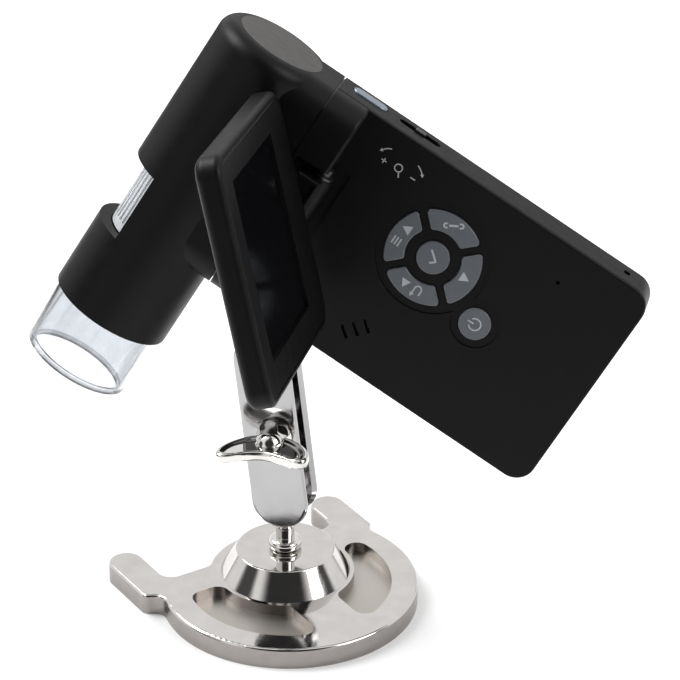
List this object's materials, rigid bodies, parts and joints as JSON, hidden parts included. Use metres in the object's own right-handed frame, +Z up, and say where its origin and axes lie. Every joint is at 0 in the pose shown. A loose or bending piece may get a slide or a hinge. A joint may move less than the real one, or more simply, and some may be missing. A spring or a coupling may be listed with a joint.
{
  "type": "lcd digital microscope",
  "caption": "Hand-held digital microscope with a clear tip, focus drum, keypad and flip-out swivelling display, on a ball-jointed clamp arm with a metal base.",
  "frame": {"origin": "on the stand's ball stud axis at the underside of the base", "axes": "+Z up, out of the table; -Y towards the user, whom the control face looks at; +X to the user's right, the side that the handset reaches to"},
  "size_m": [0.1739, 0.1357, 0.1749],
  "materials": {
    "polished_stand": "polished",
    "satin_arm": "satin",
    "soft_black": "matte",
    "clear_acrylic": "gloss",
    "display_glass": "gloss",
    "translucent_drum": "satin",
    "smoke_keys": "satin",
    "silver_trim": "satin",
    "black_trim": "satin",
    "steel": "satin",
    "brass": "satin",
    "lens_glass": "polished",
    "board": "satin",
    "lamp": "gloss",
    "sensor": "gloss",
    "rubber": "matte",
    "cell": "satin"
  },
  "bodies": {
    "base": {"base_plate": "polished_stand", "stand_screw": "steel"},
    "lower_stud": {"lower_ball_stud": "polished_stand"},
    "arm": {"arm_front_plate": "satin_arm", "arm_rear_plate": "satin_arm", "clamp_screw": "polished_stand", "clamp_washer": "polished_stand"},
    "wing_nut": {"wing_nut": "polished_stand"},
    "upper_stud": {"upper_ball_stud": "polished_stand", "stud_lock_nut": "polished_stand"},
    "head": {"barrel_housing": "soft_black", "clear_tip": "clear_acrylic", "lamp_board": "board", "lamps": "lamp", "sensor_board": "board", "image_sensor": "sensor", "front_shell": "soft_black", "rear_shell": "soft_black", "case_screws": "steel", "lanyard_pin": "steel", "tripod_insert": "brass", "keypad_membrane": "rubber", "main_board": "board", "battery": "cell", "speaker": "black_trim", "microphone": "black_trim", "hinge_pins": "steel"},
    "focus_drum": {"focus_drum": "translucent_drum"},
    "lens_carriage": {"lens_carriage": "black_trim", "front_lens": "lens_glass"},
    "right_key": {"right_key": "smoke_keys"},
    "up_key": {"up_key": "smoke_keys"},
    "left_key": {"left_key": "smoke_keys"},
    "down_key": {"down_key": "smoke_keys"},
    "ok_key": {"ok_key": "smoke_keys"},
    "power_key": {"power_key": "smoke_keys"},
    "shutter_button": {"shutter_button": "silver_trim"},
    "zoom_lever": {"zoom_lever": "black_trim"},
    "hinge_knuckle": {"hinge_knuckle": "soft_black"},
    "swivel_shaft": {"swivel_shaft": "steel"},
    "display": {"display_back": "soft_black", "display_bezel": "soft_black", "display_glass": "display_glass", "display_module": "sensor"}
  },
  "joints": [
    {"name": "stand_turn", "type": "hinge", "parent": "base", "child": "lower_stud", "pos_m": [0, 0, 0.0316], "axis": [0, 0, 1], "range_deg": [-90, 90]},
    {"name": "arm_tilt", "type": "hinge", "parent": "lower_stud", "child": "arm", "pos_m": [0, 0, 0.0316], "axis": [0.2656, 0.9641, 0], "range_deg": [-12, 35]},
    {"name": "wing_nut_turn", "type": "hinge", "parent": "arm", "child": "wing_nut", "pos_m": [-0.00089, 0.00025, 0.05419], "axis": [-0.2656, -0.9641, 0], "range_deg": [-90, 270]},
    {"name": "head_tilt", "type": "hinge", "parent": "arm", "child": "upper_stud", "pos_m": [-0.00485, 0.00134, 0.07642], "axis": [0.2656, 0.9641, 0], "range_deg": [-30, 30]},
    {"name": "head_turn", "type": "hinge", "parent": "upper_stud", "child": "head", "pos_m": [-0.00485, 0.00134, 0.07642], "axis": [0.5277, 0.0641, 0.847], "range_deg": [-60, 60]},
    {"name": "focus_turn", "type": "hinge", "parent": "head", "child": "focus_drum", "pos_m": [-0.03626, 0.01115, 0.10706], "axis": [0.5277, 0.0641, 0.847], "range_deg": [-150.1, 150.1]},
    {"name": "focus_slide", "type": "slide", "parent": "head", "child": "lens_carriage", "axis": [0.5277, 0.0641, 0.847], "range_m": [-0.004, 0.004]},
    {"name": "right_key_press", "type": "slide", "parent": "head", "child": "right_key", "axis": [0.1791, 0.9664, -0.1847], "range_m": [0, 0.0005], "stiffness_N_per_m": 600},
    {"name": "up_key_press", "type": "slide", "parent": "head", "child": "up_key", "axis": [0.1791, 0.9664, -0.1847], "range_m": [0, 0.0005], "stiffness_N_per_m": 600},
    {"name": "left_key_press", "type": "slide", "parent": "head", "child": "left_key", "axis": [0.1791, 0.9664, -0.1847], "range_m": [0, 0.0005], "stiffness_N_per_m": 600},
    {"name": "down_key_press", "type": "slide", "parent": "head", "child": "down_key", "axis": [0.1791, 0.9664, -0.1847], "range_m": [0, 0.0005], "stiffness_N_per_m": 600},
    {"name": "ok_key_press", "type": "slide", "parent": "head", "child": "ok_key", "axis": [0.1791, 0.9664, -0.1847], "range_m": [0, 0.0005], "stiffness_N_per_m": 600},
    {"name": "power_key_press", "type": "slide", "parent": "head", "child": "power_key", "axis": [0.1791, 0.9664, -0.1847], "range_m": [0, 0.0005], "stiffness_N_per_m": 600},
    {"name": "shutter_press", "type": "slide", "parent": "head", "child": "shutter_button", "axis": [-0.5277, -0.0641, -0.847], "range_m": [0, 0.0005], "stiffness_N_per_m": 600},
    {"name": "zoom_slide", "type": "slide", "parent": "head", "child": "zoom_lever", "axis": [0.8303, -0.2491, -0.4985], "range_m": [-0.003, 0.003], "stiffness_N_per_m": 150},
    {"name": "display_open", "type": "hinge", "parent": "head", "child": "hinge_knuckle", "pos_m": [0.00604, -0.00281, 0.12591], "axis": [-0.5277, -0.0641, -0.847], "range_deg": [-89.6, 0]},
    {"name": "display_level", "type": "hinge", "parent": "hinge_knuckle", "child": "swivel_shaft", "pos_m": [0.00404, -0.00223, 0.12711], "axis": [-0.1732, -0.9681, 0.1812], "range_deg": [-44.61, 0]},
    {"name": "display_swivel", "type": "hinge", "parent": "swivel_shaft", "child": "display", "pos_m": [0.00404, -0.00223, 0.12711], "axis": [-0.1732, -0.9681, 0.1812], "range_deg": [0, 100]}
  ],
  "couplings": [
    {"joint": "focus_turn", "follows": "focus_slide", "rad_per_m": 654.5},
    {"joint": "display_level", "follows": "display_open", "ratio": 0.49777}
  ]
}
